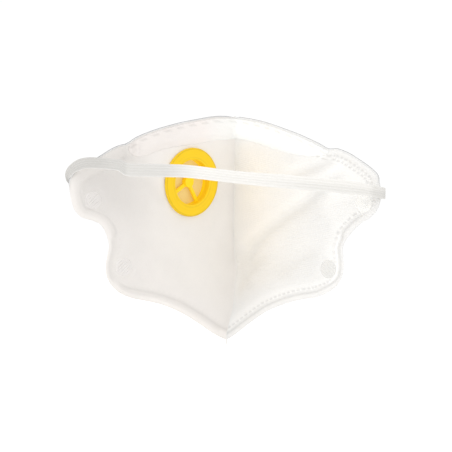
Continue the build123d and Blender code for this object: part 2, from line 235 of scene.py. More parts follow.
# ------------------------------------------------------------------ the crease's sideways bow
def bow_by(side, x, z):
    """How far a place on a half is carried to the wearer's right together with the crease."""
    crease = BOW * rise(z, -72, 24) + 1.7 * ridge(z + 27, 14)
    return crease * fall(x, 0, 7.5 if side == LEFT else 48.0)


def carry(verts, shift):
    return verts - np.stack([shift, BOW_DEPTH * shift, 0 * shift], 1)


def bow(verts):
    x, z = verts[:, 0], verts[:, 2]
    reach = np.abs(x)
    return carry(verts, np.where(x >= 0, bow_by(LEFT, reach, z), bow_by(RIGHT, reach, z)))


def unbow(points):
    """Takes a bowed curve of the right half back to where it lies before the crease is carried."""
    out = []
    for seen, z in points:
        x = seen
        for _ in range(40):
            x = 0.5 * x + 0.5 * max(0.0, seen - float(bow_by(RIGHT, x, z)))
        out.append((x, z))
    return [(0.0, out[0][1])] + out[1:]


def lower_top(points):
    return [(x, z - TOP_DROP * float(rise(z, 40, 14))) for x, z in points]


OUTLINE = {LEFT: lower_top(LEFT_OUTLINE), RIGHT: unbow(lower_top(RIGHT_OUTLINE))}
STRIP = {LEFT: LEFT_STRIP, RIGHT: unbow(RIGHT_STRIP[::-1])[::-1]}


def nose_edge(side):
    return catmull(OUTLINE[side][:NOTCH + 1])


def outline(side):
    """The whole outer edge, with a sharp corner at the notch."""
    return np.vstack([nose_edge(side), catmull(OUTLINE[side][NOTCH:])[1:]])


EDGE = {side: resample(outline(side), 0.7) for side in (LEFT, RIGHT)}


def edge_field(side, x, z):
    """Distance to the outer edge and position along it."""
    edge = EDGE[side]
    length = arc_length(edge)
    gap, index, share = nearest(edge[:-1], edge[1:], np.stack([x, z], 1))
    return gap, length[index] + share * np.diff(length)[index]


def edge_gap(side, points):
    return edge_field(side, points[:, 0], points[:, 1])[0]


# ------------------------------------------------------------------ shape of the panels
random = np.random.RandomState(7)
# frequency, heading, phase and strength of each wave
WAVES = [(random.uniform(0.12, 0.34), random.uniform(0, 2 * math.pi),
          random.uniform(0, 2 * math.pi), random.uniform(0.5, 1.0)) for _ in range(14)]


def ripple(x, z, side):
    """Faint unevenness of the cloth, a sum of plane waves."""
    height = np.zeros(x.shape)
    side_phase = 0 if side == LEFT else 1.7
    for frequency, heading, phase, strength in WAVES:
        way = x * math.cos(heading) + z * math.sin(heading)
        height += strength * np.sin(frequency * way + phase + side_phase)
    return height / 5.0


def along_path(x, z, path):
    """Signed distance from a path (positive on its outer, lower side) and the share passed."""
    line = catmull(path, steps=8)
    points = np.stack([x, z], 1)
    spans = np.diff(line, axis=0)
    distance, index, share = nearest(line[:-1], line[1:], points)
    length = arc_length(line)
    normal = unit_rows(np.stack([-spans[:, 1], spans[:, 0]], 1))
    offset = ((points - line[index]) * normal[index]).sum(1)
    # past the ends of the path the plain distance counts
    beyond = distance > np.abs(offset) + 1e-6
    offset = np.where(beyond, np.sign(offset + 1e-9) * distance, offset)
    return offset, (length[index] + share * np.diff(length)[index]) / length[-1]


def buckle(x, z, side):
    """Depth step across each buckle: back on one side of its path, forward on the other."""
    depth = np.zeros(x.shape)
    for path, width, height, _ in BUCKLES[side]:
        offset, passed = along_path(x, z, path)
        fade = rise(passed, 0, 0.18) * rise(passed, 1, -0.22)
        profile = (offset / width) * np.exp(0.5 - offset * offset / (2 * width * width))
        depth -= height * fade * profile
    return depth


def buckle_shade(x, z, side):
    # painted shade along each buckle, and the warm tint of that shade
    dark, warm = np.zeros(x.shape), np.zeros(x.shape)
    for path, width, _, strength in BUCKLES[side]:
        offset, passed = along_path(x, z, path)
        fade = rise(passed, 0, 0.2) * rise(passed, 1, -0.25) * strength
        core = ridge(offset - 0.2 * width, 0.95 * width)
        dark += fade * (core - 0.2 * ridge(offset + 1.9 * width, 1.1 * width))
        warm += fade * core
    return dark, warm


def base_y(x, z, side):
    """The panel's reference surface, skin side, x measured from the fold."""
    # radius of the fold: sharp in the middle, softer at the nose and chin
    radius = 0.35 + 2.2 * rise(z, 42, 14) + 1.6 * rise(z, -12, -20)
    y = FOLD_Y + SLOPE * np.sqrt(x * x + radius * radius) - CURVE * x * x
    calm = 1.0
    if side == LEFT:
        # the panel follows the tilted valve and is calm round it
        up = z - VALVE_Z
        y = y + VALVE_TILT * up * fall(np.abs(up), 20, 28) * rise(x, 0, 10) * fall(x, 42, 30)
        calm = rise(np.hypot(x - VALVE_X, up), 23, 12)
    # nose and chin lean back
    y = y + 5.0 * rise(z, 56, 26) ** 1.3 * fall(x, 0, 46)
    y = y + 6.0 * rise(z, -34, -44) ** 1.2 * fall(x, 0, 34)
    seen_x = x if side == LEFT else x + bow_by(RIGHT, x, z)
    uneven = 0.32 * ripple(x, z, side) * rise(x, 1.0, 9)
    return y + (uneven + buckle(seen_x, z, side) * rise(x, 0.5, 8)) * calm


def base_normal(x, z, side):
    """Unit normals of the reference surface, towards the outside."""
    step = 0.15
    by_x = (base_y(x + step, z, side) - base_y(x - step, z, side)) / (2 * step)
    by_z = (base_y(x, z + step, side) - base_y(x, z - step, side)) / (2 * step)
    by_x = np.where(x < 1e-4, 0.0, by_x)
    return unit_rows(np.stack([by_x, -np.ones_like(by_x), by_z], 1))


def row_at(side, z):
    """Distance of both weld rows from the edge; they run closer to it on the lobe's flank."""
    outer_row, inner_row = ROWS[side]
    if side == LEFT:
        flank = 3.0 * rise(z, -1, -8) * rise(z, -40, 10)
    else:
        flank = 1.7 * rise(z, 0, -6) * rise(z, -36, 8)
    return outer_row - flank, inner_row - flank * 0.8


def dashes(along, pitch, duty, shift):
    wave = np.cos(2 * math.pi * (along / pitch + shift)) - math.cos(math.pi * duty)
    return np.clip(0.5 + 4.0 * wave, 0, 1)


def weld_marks(side, z, gap, along):
    """Strength 0-1 of the outer and inner weld rows."""
    outer_row, inner_row = row_at(side, z)
    if side == LEFT:
        # a broad channel, fainter near the top, and a faint dashed row inside it
        outer = ridge(gap - outer_row, width=1.15) * (0.75 * rise(z, 30, -14) + 0.25)
        inner = 0.35 * ridge(gap - inner_row - 0.6, width=0.5)
        return outer, inner * dashes(along, pitch=3.2, duty=0.5, shift=0.0)
    # two dashed rows above; below, a solid outer row and longer inner dashes
    top = rise(z, 6, 6)
    outer = (ridge(gap - outer_row, width=0.62) * top * dashes(along, 3.1, duty=0.5, shift=0.0)
             + 1.25 * ridge(gap - outer_row, width=0.85) * (1 - top))
    inner = ridge(gap - inner_row, width=0.58) * (
        top * dashes(along, 3.1, duty=0.5, shift=0.35)
        + (1 - top) * dashes(along, 3.1, duty=0.66, shift=0.35))
    return outer, inner


def squeeze(side, x, z, gap, along):
    """Share of the full thickness at each point: welds and edges press the webs together."""
    outer_row, inner_row = row_at(side, z)
    share = 0.42 + 0.58 * rise(gap, inner_row + 0.6, 6.5)
    share = np.where(gap < outer_row, 0.62, share)
    share = share * (0.40 + 0.60 * rise(gap, 0, 1.3))
    outer, inner = weld_marks(side, z, gap, along)
    share = share - 0.36 * outer - 0.34 * inner
    for spot_x, spot_z in SPOTS[side]:
        radius = np.hypot((x - spot_x) * SPOT_HEIGHT, z - spot_z)
        share = np.minimum(share, 0.5 + 0.5 * rise(radius, 6.2, 3.0))
    return np.clip(share, 0.14, 1.0)


def surf(side, x, z, depth, lift=0.0, fields=None):
    """Points at a depth in the laminate (0 skin side, STACK outside), moved outwards by lift."""
    gap, along = fields if fields is not None else edge_field(side, x, z)
    share = squeeze(side, x, z, gap, along)
    offset = MID + (depth - MID) * share + lift
    base = np.stack([x, base_y(x, z, side), z], 1)
    return base + base_normal(x, z, side) * offset[:, None]


def mirror(side):
    return np.array([side, 1, 1])


def outer_points(side, x, z, lift):
    """Points above the outer face, with x in the mask's own direction."""
    return surf(side, x, z, STACK, lift) * mirror(side)


def skin_tones(side, x, z, fields):
    """Brightness and warmth of the skin side, much of it painted light and shade. Each term is amount *
    where it applies.
    """
    gap, along = fields
    outer_row, inner_row = row_at(side, z)
    outer, inner = weld_marks(side, z, gap, along)
    fold_x = x
    if side == RIGHT:
        x = x + bow_by(RIGHT, x, z)
    dark, warm_buckles = buckle_shade(x, z, side)
    if side == LEFT:
        # grey weld rows, bright margin outside them
        low = rise(z, 34, -12)
        tone = 1.0 - 0.085 * outer * (0.4 + 0.6 * low) - 0.03 * inner
        tone += 0.026 * fall(gap, outer_row - 2.0, 1.6) * (0.1 + 0.9 * low)
        # painted shade of the buckles, then of the outer lobe
        tone -= 0.05 * dark
        tone -= 0.085 * rise(x, 46, 26) * rise(z, -2, 22) * rise(gap, outer_row, 2.0)
        # brighter towards the fold and the nose
        tone += 0.018 * fall(x, 42, 20) + 0.014 * rise(z, 34, 8) * fall(x, 50, 10)
        # darker just outside the end of the comfort strip
        tone -= 0.05 * ridge(x - 65, 3.0) * rise(z, 40, 6)
        tone -= 0.03 * rise(x, 66, 4) * rise(z, 38, 8)
    else:
        # grey weld rows, a bright ridge between them and slightly grey margin below
        low = rise(z, 10, -8)
        tone = 1.0 - 0.125 * outer - 0.125 * inner
        tone -= 0.014 * fall(gap, outer_row - 1.3, 1.2) * low
        tone += 0.03 * ridge(gap - (outer_row + inner_row) / 2, 0.7)
        # painted shade of the buckles, then a brighter band inside the rows and a darker lower middle
        tone -= 0.075 * dark
        tone += 0.02 * fall(gap, inner_row + 1, 6) * low
        tone -= 0.035 * rise(z, -8, -16) * rise(gap, 9, 8)
        # small hatched round mark near the chin
        mark = np.hypot(x - 15.6, z + 37.5)
        hatch = np.cos(2 * math.pi * (0.5 * x + z) / 1.7)
        tone -= (0.022 + 0.018 * hatch) * fall(mark, 2.6, 1.2)
        # brighter outer lobe and fold
        tone += 0.028 * rise(x, 56, 10) * rise(z, -2, 14) * rise(gap, outer_row, 3)
        tone += 0.012 * fall(x, 4, 12)
    # painted shade: dark line of the crease with a soft shade beside it, and a dark upper edge where the
    # laminate's edge lies in shadow
    crease = np.exp(-fold_x / 0.5) * (0.6 + 0.4 * rise(z, -30, 25))
    crease = crease * rise(z, -70, 10) * fall(z, 48, 14)
    tone -= 0.045 * crease * (1 - 0.55 * rise(z, 12, 22)) + 0.02 * np.exp(-fold_x / 3.5)
    tone -= 0.08 * fall(gap, 0, 0.9) * rise(z, 20, 8)
    # warm middle, partly the cream filter seen through the liner and partly painted warm light reflected
    # from the yellow valve, and the warm tint of the buckles' painted shade
    warm = fall(x, 6, 56) * rise(z, -74, 60) * rise(gap, 8, 14)
    warm = warm * (0.42 if side == LEFT else 0.85)
    warm_buckles = 0.6 * np.clip(warm_buckles, 0, 1) * rise(x, 70, -30)
    return tone, np.clip(warm + warm_buckles, 0, 1.6)


# ------------------------------------------------------------------ flat meshes in (x, z)
def triangulate(loop, extra, hole=None):
    """Triangles over the loop with extra points inside, minus the hole."""
    points, edges = [], []
    for ring in (loop, hole):
        if ring is not None:
            first = len(points)
            points += [tuple(point) for point in ring]
            edges += [(first + i, first + (i + 1) % len(ring)) for i in range(len(ring))]
    points += [tuple(point) for point in extra]
    result = delaunay_2d_cdt([Vector(point) for point in points], edges, [], 0, 1e-5)
    verts = np.array([tuple(vert) for vert in result[0]])
    tris = np.array([face for face in result[2] if len(face) == 3])
    centres = verts[tris].mean(1)
    keep = inside(np.array(loop), centres)
    if hole is not None:
        keep &= ~inside(np.array(hole), centres)
    tris = tris[keep]
    first, second, third = verts[tris].transpose(1, 0, 2)
    area = ((second[:, 0] - first[:, 0]) * (third[:, 1] - first[:, 1])
            - (third[:, 0] - first[:, 0]) * (second[:, 1] - first[:, 1]))
    solid = np.abs(area) > 1e-7
    tris, area = tris[solid], area[solid]
    tris[area < 0] = tris[area < 0][:, ::-1]
    used, index = np.unique(tris, return_inverse=True)
    return verts[used], index.reshape(tris.shape)


def rim(tris):
    """Boundary edges of a triangle list, as directed pairs."""
    edges = np.vstack([tris[:, [0, 1]], tris[:, [1, 2]], tris[:, [2, 0]]])
    ends = np.sort(edges, 1)
    keys = ends[:, 0] * (tris.max() + 1) + ends[:, 1]
    _, index, count = np.unique(keys, return_index=True, return_counts=True)
    return edges[index[count == 1]]


def thin_out(points, cell):
    """Keeps the first point of every cell."""
    keys = np.round(points / cell).astype(int)
    _, index = np.unique(keys[:, 0] * 100003 + keys[:, 1], return_index=True)
    return points[np.sort(index)]


def staggered_grid(x_range, z_range, step):
    grid_x, grid_z = np.meshgrid(np.arange(*x_range, step), np.arange(*z_range, step))
    grid_x = grid_x + (np.arange(grid_x.shape[0]) % 2)[:, None] * step / 2
    return np.stack([grid_x.ravel(), grid_z.ravel()], 1)


def valve_circle(radius):
    """Circle round the valve's axis, projected to (x, z)."""
    angle = np.linspace(0, 2 * math.pi, 97)[:-1]
    around = np.cos(angle)[:, None] * VALVE_ALONG[None] + np.sin(angle)[:, None] * VALVE_UP[None]
    return (VALVE_CENTRE[None] + radius * around)[:, [0, 2]]


def from_valve(points):
    return np.hypot((points[:, 0] - VALVE_X) / VALVE_ALONG[0], points[:, 1] - VALVE_Z)


def edge_rings(side, loop):
    """Rows of points that follow the edge, dense at the weld rows."""
    edge = resample(EDGE[side], 0.62)
    tangent = unit_rows(np.gradient(edge, axis=0))
    inward = np.stack([tangent[:, 1], -tangent[:, 0]], 1)
    third = len(edge) // 3
    if not inside(loop, (edge[third] + inward[third] * 2)[None])[0]:
        inward = -inward
    outer_row, inner_row = ROWS[side]
    distances = [0.35, 0.8, 1.4, 2.1]
    distances += [outer_row + k for k in (-1.1, -0.7, -0.35, 0, 0.35, 0.7)]
    distances += [inner_row + k for k in (-0.7, -0.35, 0, 0.35, 0.7, 1.2, 1.9, 2.8)]
    rings = []
    for distance in distances:
        ring = edge + inward * distance
        keep = (edge_gap(side, ring) > distance - 0.12) & (ring[:, 0] > 0.5)
        rings.append(ring[keep])
    return np.vstack(rings)


def spot_rings(side):
    """Rings of points round the headband welds."""
    rings = []
    for spot_x, spot_z in SPOTS[side]:
        for radius in (5.6, 6.2, 6.8, 7.6, 8.6):
            angle = np.linspace(0, 2 * math.pi, int(radius * 9) + 1)[:-1]
            rings.append(np.stack([spot_x + radius * np.cos(angle) / SPOT_HEIGHT,
                                   spot_z + radius * np.sin(angle)], 1))
    return np.vstack(rings)


def half_mesh(side):
    edge = resample(EDGE[side], 0.75)
    fold_z = np.linspace(edge[-1, 1], edge[0, 1], 170)[1:-1]
    loop = np.vstack([edge, np.stack([np.zeros_like(fold_z), fold_z], 1)])
    inner_row = ROWS[side][1]

    columns = []                # upright rows of points beside the fold
    for i, x in enumerate((0.22, 0.5, 0.85, 1.3, 1.9, 2.7, 3.6)):
        column_z = np.linspace(-73, 76, 140) + (0.5 if i % 2 else 0)
        columns.append(np.stack([np.full(140, x), column_z], 1))
    spots = spot_rings(side)
    spots = spots[edge_gap(side, spots) > inner_row + 0.4]
    grid = staggered_grid((0.6, 97), (-74, 77), 1.15)
    grid = grid[(edge_gap(side, grid) > inner_row + 3.2) & (grid[:, 0] > 4.2)]
    extra = columns + [edge_rings(side, loop), spots]
    hole = None
    if side == LEFT:
        hole = valve_circle(VALVE_HOLE)
        grid = grid[from_valve(grid) > 24.8]
        radii = (17.2, 18.2, 19.6, 21.2, 22.0, 22.6, 23.2, 24.2)
        extra = [valve_circle(radius) for radius in radii] + extra
    extra = np.vstack(extra + [grid])

    extra = extra[inside(loop, extra) & (extra[:, 0] > 0.15)]
    extra = extra[edge_gap(side, extra) > 0.2]
    if side == LEFT:
        extra = extra[from_valve(extra) > VALVE_HOLE + 0.3]
    return triangulate(loop, thin_out(extra, 0.3), hole)


# ------------------------------------------------------------------ share of the fold's turn
def turn_weight(x, reach):
    """0 on the left body, 1 on the right body, turning within reach of x = 0."""
    return np.clip(0.5 - 0.5 * x / reach, 0, 1)


def fold_weight(verts):
    """Turns through the whole wedge between the halves, by the angle about the fold."""
    return turn_weight(verts[:, 0], np.maximum((verts[:, 1] - FOLD_Y) / SLOPE, 1.3))


def half_weight(side, x, z):
    """A half in the crease, none (or all) once the panel stands clear."""
    angle = np.degrees(np.arctan2(x, np.maximum(base_y(x, z, side) - FOLD_Y, 1e-6)))
    clear = np.clip(x / (6.8 if side == LEFT else 12.0), 0, 1)
    return 0.5 - side * 0.5 * np.minimum(np.clip(angle / 41.5, 0, 1), clear)


def panel_weight(x, z):
    """The same for places on both halves, by signed x."""
    reach = np.abs(x)
    return np.where(x >= 0, half_weight(LEFT, reach, z), half_weight(RIGHT, reach, z))


# ------------------------------------------------------------------ making objects
def set_material(item, material):
    item.data.materials.clear()
    item.data.materials.append(material)


def build(name, verts, faces, replaces, material,
          uv=None, tone=None, warmth=None, weights=None):
    """Makes a smooth object from millimetres; tone and warmth are read by the materials."""
    mesh = bpy.data.meshes.new(name)
    mesh.from_pydata((verts * MM).tolist(), [], [list(map(int, face)) for face in faces])
    mesh.validate()
    mesh.update()
    item = bpy.data.objects.new(name, mesh)
    bpy.context.scene.collection.objects.link(item)
    mesh.polygons.foreach_set("use_smooth", np.ones(len(mesh.polygons), bool))
    if uv is not None:
        layer = mesh.uv_layers.new(name="UVMap")
        index = np.zeros(len(mesh.loops), np.int32)
        mesh.loops.foreach_get("vertex_index", index)
        layer.data.foreach_set("uv", uv[index].astype(np.float32).ravel())
    for key, values in (("tone", tone), ("warmth", warmth)):
        if values is not None:
            attribute = mesh.attributes.new(key, "FLOAT", "POINT")
            attribute.data.foreach_set("value", np.asarray(values, np.float32))
    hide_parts(replaces)
    set_material(item, material)
    if weights is not None:
        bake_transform(item, "left_half", "right_half",
                 start=(0.001, FOLD_Y * MM, 0), end=(-0.001, FOLD_Y * MM, 0))
        blend = mesh.attributes["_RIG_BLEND"]
        blend.data.foreach_set("value", weights.astype(np.float32))
    return item


def outward(verts, faces):
    """Flips all faces if the closed mesh is inside out."""
    volume = 0.0
    for face in faces:
        corner = verts[face[0]]
        for k in range(1, len(face) - 1):
            volume += np.dot(corner, np.cross(verts[face[k]], verts[face[k + 1]]))
    return [tuple(reversed(face)) for face in faces] if volume < 0 else faces


def ring_points(rows):
    """Lengthwise rows of one face, then of the other, reordered into rings round the section."""
    rows = np.stack(rows)
    half = len(rows) // 2
    rings = np.concatenate([rows[:half], rows[half:][::-1]]).transpose(1, 0, 2)
    return rings.reshape(-1, rows.shape[2])


def tube_faces(length, around):
    """Faces between rings, with a cap on each end."""
    faces = []
    for i in range(length - 1):
        for j in range(around):
            here, beside = i * around + j, i * around + (j + 1) % around
            faces.append((here, beside, beside + around, here + around))
    faces.append(tuple(range(around))[::-1])
    faces.append(tuple((length - 1) * around + j for j in range(around)))
    return faces


def ribbon(edge_a, edge_b, across, ribs=0, rib_height=0.0):
    """Closed ribbon between two edge curves: rounded selvedges, lengthwise ribs, UV in mm."""
    span = edge_b - edge_a
    width = np.linalg.norm(span, axis=1).mean()
    shares = np.linspace(-1, 1, across)
    shares = np.sign(shares) * np.abs(shares) ** 0.9
    reach = np.abs(shares)
    halves = np.sqrt(np.clip(1 - reach ** 8, 0.02, 1)) * RIBBON_THICK / 2
    if ribs:
        halves = halves + rib_height * np.cos(shares * math.pi * ribs) * (1 - reach ** 12)
        halves = halves + 0.12 * ridge(reach - 0.93, 0.05)
    centre = 0.5 * (edge_a + edge_b)
    normals = unit_rows(np.cross(np.gradient(centre, axis=0), span))
    length = arc_length(centre)
    rows, uvs = [], []
    for face in (1, -1):
        for share, half in zip(shares, halves):
            rows.append(centre + span * (share / 2) + normals * (face * half))
            uvs.append(np.stack([length, np.full(len(length), share * width / 2)], 1))
    return ring_points(rows), tube_faces(len(length), 2 * across), ring_points(uvs)


# ------------------------------------------------------------------ shader helpers
def add(tree, kind, inputs=None, **properties):
    """Makes a shader node; an input is given a value or linked from a socket."""
    node = tree.nodes.new("ShaderNode" + kind)
    for key, value in properties.items():
        setattr(node, key, value)
    for key, value in (inputs or {}).items():
        if isinstance(value, bpy.types.NodeSocket):
            tree.links.new(value, node.inputs[key])
        else:
            node.inputs[key].default_value = value
    return node


def feed(tree, node, **sockets):
    """Links sockets to a node's inputs; underscores stand for spaces."""
    for key, socket in sockets.items():
        tree.links.new(socket, node.inputs[key.replace("_", " ")])


def calc(tree, operation, *values, clamp=False):
    inputs = dict(enumerate(values))
    return add(tree, "Math", inputs, operation=operation, use_clamp=clamp).outputs[0]


def scaled(tree, socket, factor, offset):
    """socket * factor + offset"""
    return calc(tree, "ADD", calc(tree, "MULTIPLY", socket, factor), offset)


def coords(tree, kind="Object"):
    return add(tree, "TexCoord").outputs[kind]


def noise(tree, place, scale, detail):
    inputs = {"Scale": scale, "Detail": detail, "Vector": place}
    return add(tree, "TexNoise", inputs).outputs["Fac"]


def attribute(tree, name):
    return add(tree, "Attribute", attribute_name=name).outputs["Fac"]


def mix_color(tree, factor, first, second):
    return add(tree, "Mix", {0: factor, 6: first, 7: second}, data_type="RGBA").outputs[2]


def with_value(tree, color, value):
    return add(tree, "HueSaturation", {"Color": color, "Value": value}).outputs[0]


def bumped(tree, height, strength, distance):
    inputs = {"Strength": strength, "Distance": distance, "Height": height}
    return add(tree, "Bump", inputs).outputs[0]


def new_material(name):
    material = bpy.data.materials.new(name)
    material.use_nodes = True
    tree = material.node_tree
    tree.nodes.clear()
    output = add(tree, "OutputMaterial")
    shader = add(tree, "BsdfPrincipled")
    feed(tree, output, Surface=shader.outputs[0])
    return material, tree, shader, output


def srgb(*channels):
    """Linear colour from 0-255 sRGB channels."""
    shares = [channel / 255 for channel in channels]
    linear = [share / 12.92 if share <= 0.04045 else ((share + 0.055) / 1.055) ** 2.4
              for share in shares]
    return (*linear, 1.0)


# ------------------------------------------------------------------ kinds of material
def fabric(name, base, warm=None, rib=0.0, rib_angle=0.0, fibre=0.25, dots=0.0, dot_pitch=1.7,
           rough=0.9, through=0.0, toned=False):
    """Nonwoven: fibre grain, optional ribs or bonded dots, warm middle (partly painted light) and light
    through it; toned ones carry painted light and shade.
    """
    material, tree, shader, output = new_material(name)
    place = coords(tree)
    color = base
    if warm is not None:
        patches = scaled(tree, noise(tree, place, scale=38.0, detail=2.0), factor=0.8, offset=0.6)
        amount = calc(tree, "MULTIPLY", attribute(tree, "warmth"), patches, clamp=True)
        color = mix_color(tree, amount, base, warm)
    # fine grain and wider blotches in the brightness
    grain = noise(tree, place, scale=900.0, detail=4.0)
    blotches = noise(tree, place, scale=120.0, detail=3.0)
    shade = calc(tree, "ADD", calc(tree, "MULTIPLY", grain, 0.05),
                 calc(tree, "MULTIPLY", blotches, 0.04))
    shade = calc(tree, "ADD", shade, 0.955)
    if toned:
        tone = attribute(tree, "tone")
        shade = calc(tree, "MULTIPLY", shade, tone)
    color = with_value(tree, color, shade)
    feed(tree, shader, Base_Color=color)
    shader.inputs["Roughness"].default_value = rough
    shader.inputs["Specular IOR Level"].default_value = 0.25
    height = calc(tree, "MULTIPLY", grain, fibre)
    if rib:
        turned = add(tree, "Mapping", {"Rotation": (0, rib_angle, 0), "Vector": place})
        rib_pitch = 1.3 * MM
        wave = add(tree, "TexWave", {
            "Scale": 2 * math.pi / rib_pitch / 20.0,
            "Distortion": 1.2,
            "Detail": 2.0,
            "Detail Scale": 2.0,
            "Vector": turned.outputs[0],
        }, wave_type="BANDS", bands_direction="Z")
        height = calc(tree, "ADD", height, calc(tree, "MULTIPLY", wave.outputs["Fac"], rib))
    if dots:
        cells = add(tree, "TexVoronoi", {
            "Scale": 1.0 / (dot_pitch * MM),
            "Randomness": 0.12,
            "Vector": place,
        }, feature="F1")
        # 2.6 sets how small the dots are within their cells
        falloff = calc(tree, "MULTIPLY", cells.outputs["Distance"], 2.6)
        dot = calc(tree, "SUBTRACT", 1.0, falloff, clamp=True)
        height = calc(tree, "SUBTRACT", height, calc(tree, "MULTIPLY", dot, dots))
    if toned:
        # painted light: tones above 1 glow faintly
        excess = calc(tree, "SUBTRACT", tone, 1.0, clamp=True)
        shader.inputs["Emission Color"].default_value = (1.0, 0.985, 0.965, 1)
        feed(tree, shader, Emission_Strength=calc(tree, "MULTIPLY", excess, 1.3))
    normal = bumped(tree, height, strength=0.6, distance=0.00022)
    feed(tree, shader, Normal=normal)
    if through:
        glow = add(tree, "BsdfTranslucent", {"Color": color, "Normal": normal})
        mix = add(tree, "MixShader", {0: through, 1: shader.outputs[0], 2: glow.outputs[0]})
        feed(tree, output, Surface=mix.outputs[0])
    return material


def elastic(name, base, rough):
    """Ribbed woven elastic: knit texture along the band's own length and width (UV in mm)."""
    knit_length, knit_width = 0.55, 0.8
    material, tree, shader, _ = new_material(name)
    along, across, _ = add(tree, "SeparateXYZ", {0: coords(tree, "UV")}).outputs
    length_phase = calc(tree, "MULTIPLY", along, 2 * math.pi / knit_length)
    width_phase = calc(tree, "MULTIPLY", across, 2 * math.pi / knit_width)
    sway = calc(tree, "MULTIPLY", calc(tree, "SINE", width_phase), 1.2)
    stitch = calc(tree, "SINE", calc(tree, "ADD", length_phase, sway))
    knit = calc(tree, "MULTIPLY", calc(tree, "ADD", stitch, 1.0), 0.5)
    grain = noise(tree, coords(tree), scale=700.0, detail=3.0)
    # painted shade: slightly darker, warmer grooves between the ribs
    rib_phase = calc(tree, "MULTIPLY", across, 2 * math.pi * BAND_RIBS / BAND_WIDTH)
    rib = calc(tree, "ADD", calc(tree, "COSINE", rib_phase), 1.0)
    shade_band = (base[0] * 0.955, base[1] * 0.95, base[2] * 0.94, 1)
    color = mix_color(tree, calc(tree, "MULTIPLY", rib, 0.5), shade_band, base)
    shade = scaled(tree, grain, factor=0.06, offset=0.96)
    value = calc(tree, "MULTIPLY", shade, attribute(tree, "tone"))
    feed(tree, shader, Base_Color=with_value(tree, color, value))
    shader.inputs["Roughness"].default_value = rough
    height = calc(tree, "ADD", calc(tree, "MULTIPLY", knit, 0.5),
                  calc(tree, "MULTIPLY", grain, 0.5))
    feed(tree, shader, Normal=bumped(tree, height, strength=0.55, distance=0.0002))
    return material


def plastic(name, base, rough, glow, grain=0.12, shade_rings=()):
    """Moulded plastic with a fine texture, an uneven gloss and a faint glow, painted light for light coming
    through the valve.
    shade_rings: radius and half width (mm) and darkness of rings of painted shade round the valve's axis."""
    material, tree, shader, _ = new_material(name)
    place = coords(tree)
    texture = noise(tree, place, scale=1400.0, detail=2.0)
    flow = noise(tree, place, scale=90.0, detail=2.0)
    value = scaled(tree, flow, factor=0.08, offset=0.955)
    if shade_rings:
        centre = tuple(VALVE_CENTRE * MM)
        arm = add(tree, "VectorMath", {0: place, 1: centre}, operation="SUBTRACT").outputs[0]
        cross = add(tree, "VectorMath", {0: arm, 1: tuple(VALVE_OUT)}, operation="CROSS_PRODUCT")
        length = add(tree, "VectorMath", {0: cross.outputs[0]}, operation="LENGTH")
        for radius, width, darkness in shade_rings:
            offset = calc(tree, "SUBTRACT", length.outputs["Value"], radius * MM)
            share = calc(tree, "ABSOLUTE", calc(tree, "DIVIDE", offset, width * MM))
            shade_band = calc(tree, "SUBTRACT", 1.0, share, clamp=True)
            value = calc(tree, "SUBTRACT", value, calc(tree, "MULTIPLY", shade_band, darkness))
    color = with_value(tree, base, value)
    gloss = scaled(tree, flow, factor=0.16, offset=rough - 0.08)
    feed(tree, shader, Base_Color=color, Roughness=gloss, Emission_Color=color)
    shader.inputs["Specular IOR Level"].default_value = 0.4
    shader.inputs["Emission Strength"].default_value = glow
    feed(tree, shader, Normal=bumped(tree, texture, strength=grain, distance=0.0001))
    return material


def metal(name, base):
    """Soft metal with fine streaks lying across z."""
    material, tree, shader, _ = new_material(name)
    stretch = add(tree, "Mapping", {"Scale": (60.0, 60.0, 2600.0), "Vector": coords(tree)})
    streaks = noise(tree, stretch.outputs[0], scale=1.0, detail=3.0)
    color = with_value(tree, base, scaled(tree, streaks, factor=0.16, offset=0.9))
    gloss = scaled(tree, streaks, factor=0.25, offset=0.32)
    feed(tree, shader, Base_Color=color, Roughness=gloss)
    shader.inputs["Metallic"].default_value = 0.9
    feed(tree, shader, Normal=bumped(tree, streaks, strength=0.25, distance=0.00005))
    return material


# ------------------------------------------------------------------ materials
# warm tint of the liner: partly the cream filter seen through it, partly painted warm light reflected from
# the yellow valve and warm painted shade in the buckles
WARM = srgb(249, 245, 238)
LINER = {
    LEFT: fabric("liner_nonwoven_left", srgb(244, 240, 236), warm=WARM,
                 rib=0.12, rib_angle=0.05, through=0.1, toned=True),
    RIGHT: fabric("liner_nonwoven_right", srgb(244, 243, 241), warm=WARM,
                  rib=0.4, rib_angle=-0.26, through=0.1, toned=True),
}
SUPPORT = fabric("support_nonwoven", srgb(240, 239, 235), fibre=0.6, through=0.1)
FILTER = fabric("filter_meltblown", srgb(247, 247, 247), fibre=0.4, through=0.15)
COVER = fabric("outer_cover_nonwoven", srgb(246, 246, 246),
               fibre=0.35, dots=0.8, through=0.1, toned=True)
STRIP_CLOTH = fabric("comfort_strip_nonwoven", srgb(250, 250, 248), warm=srgb(250, 244, 240),
                     fibre=0.3, dots=0.15, dot_pitch=1.3, toned=True)
SEAM = fabric("fused_seam", srgb(238, 237, 232), fibre=0.2, dots=0.5, dot_pitch=1.2, rough=0.6)
WELD = {
    LEFT: fabric("fused_weld_left", srgb(236, 232, 229), fibre=0.2, rough=0.6, toned=True),
    RIGHT: fabric("fused_weld_right", srgb(235, 234, 231), fibre=0.2, rough=0.6, toned=True),
}
BAND = elastic("ribbed_elastic", srgb(250, 248, 244), rough=0.75)
CLIP = metal("soft_aluminium", srgb(214, 216, 219))
